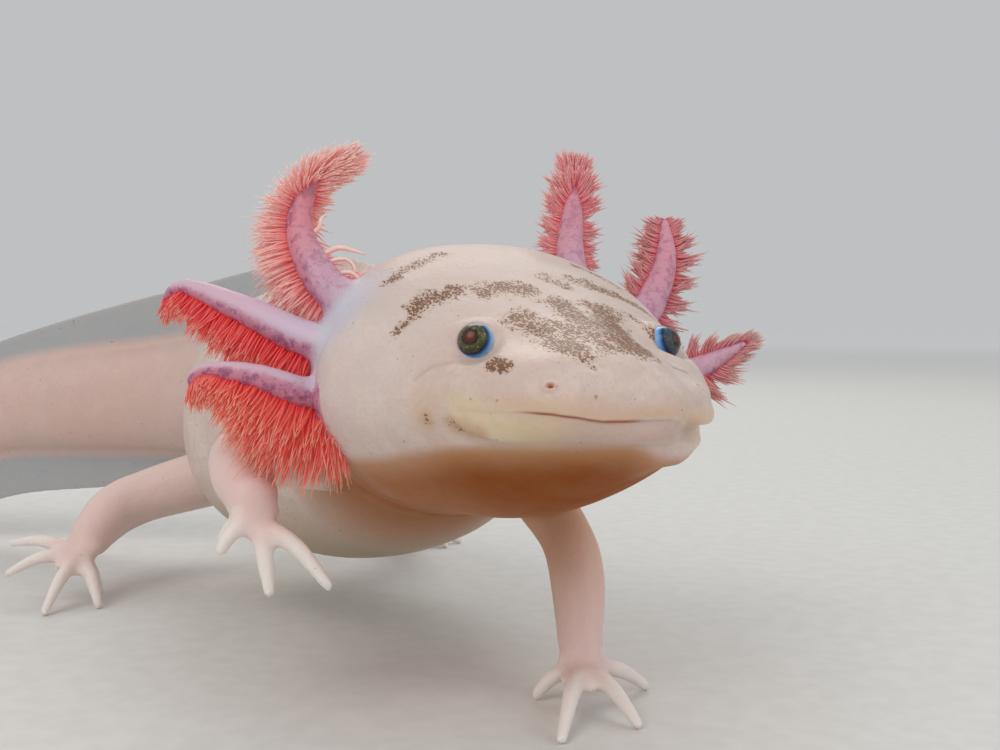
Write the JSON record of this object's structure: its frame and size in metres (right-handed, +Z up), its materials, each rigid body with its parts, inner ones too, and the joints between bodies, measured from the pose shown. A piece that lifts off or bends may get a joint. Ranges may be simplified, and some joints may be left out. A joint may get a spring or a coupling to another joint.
{
  "type": "axolotl",
  "caption": "Still, life-size model of a pale adult axolotl in mid-step, standing on its feet with the right forefoot lifted and the feathery gills spread.",
  "frame": {"origin": "centre of the bounding box at floor level", "axes": "+X towards the snout, +Y to the animal's left, +Z up from the floor"},
  "size_m": [0.1988, 0.1048, 0.0639],
  "materials": {
    "skin": "smooth, moist-looking, pale cream pink",
    "toes": "smooth, paler than the skin",
    "fin": "thin, slightly see-through, blue-grey",
    "gill_stalk": "smooth lavender pink",
    "gill_filaments": "soft coral red",
    "eye": "glossy, dark"
  },
  "bodies": {
    "root": {"belly": "skin", "chest": "skin", "dorsal_fin_back": "fin", "dorsal_fin_tail": "fin", "eye_left": "eye", "eye_right": "eye", "foreleg_left_foot": "toes", "foreleg_left_lower": "skin", "foreleg_left_upper": "skin", "foreleg_right_foot": "toes", "foreleg_right_lower": "skin", "foreleg_right_upper": "skin", "gill_left_lower_fringe_a": "gill_filaments", "gill_left_lower_fringe_b": "gill_filaments", "gill_left_lower_stalk": "gill_stalk", "gill_left_middle_fringe_a": "gill_filaments", "gill_left_middle_fringe_b": "gill_filaments", "gill_left_middle_stalk": "gill_stalk", "gill_left_upper_fringe_a": "gill_filaments", "gill_left_upper_fringe_b": "gill_filaments", "gill_left_upper_stalk": "gill_stalk", "gill_right_lower_fringe_a": "gill_filaments", "gill_right_lower_fringe_b": "gill_filaments", "gill_right_lower_stalk": "gill_stalk", "gill_right_middle_fringe_a": "gill_filaments", "gill_right_middle_fringe_b": "gill_filaments", "gill_right_middle_stalk": "gill_stalk", "gill_right_upper_fringe_a": "gill_filaments", "gill_right_upper_fringe_b": "gill_filaments", "gill_right_upper_stalk": "gill_stalk", "head": "skin", "hindleg_left_foot": "toes", "hindleg_left_lower": "skin", "hindleg_left_upper": "skin", "hindleg_right_foot": "toes", "hindleg_right_lower": "skin", "hindleg_right_upper": "skin", "lower_jaw": "skin", "tail_base": "skin", "tail_middle": "skin", "tail_tip": "fin", "ventral_fin": "fin"}
  },
  "joints": []
}
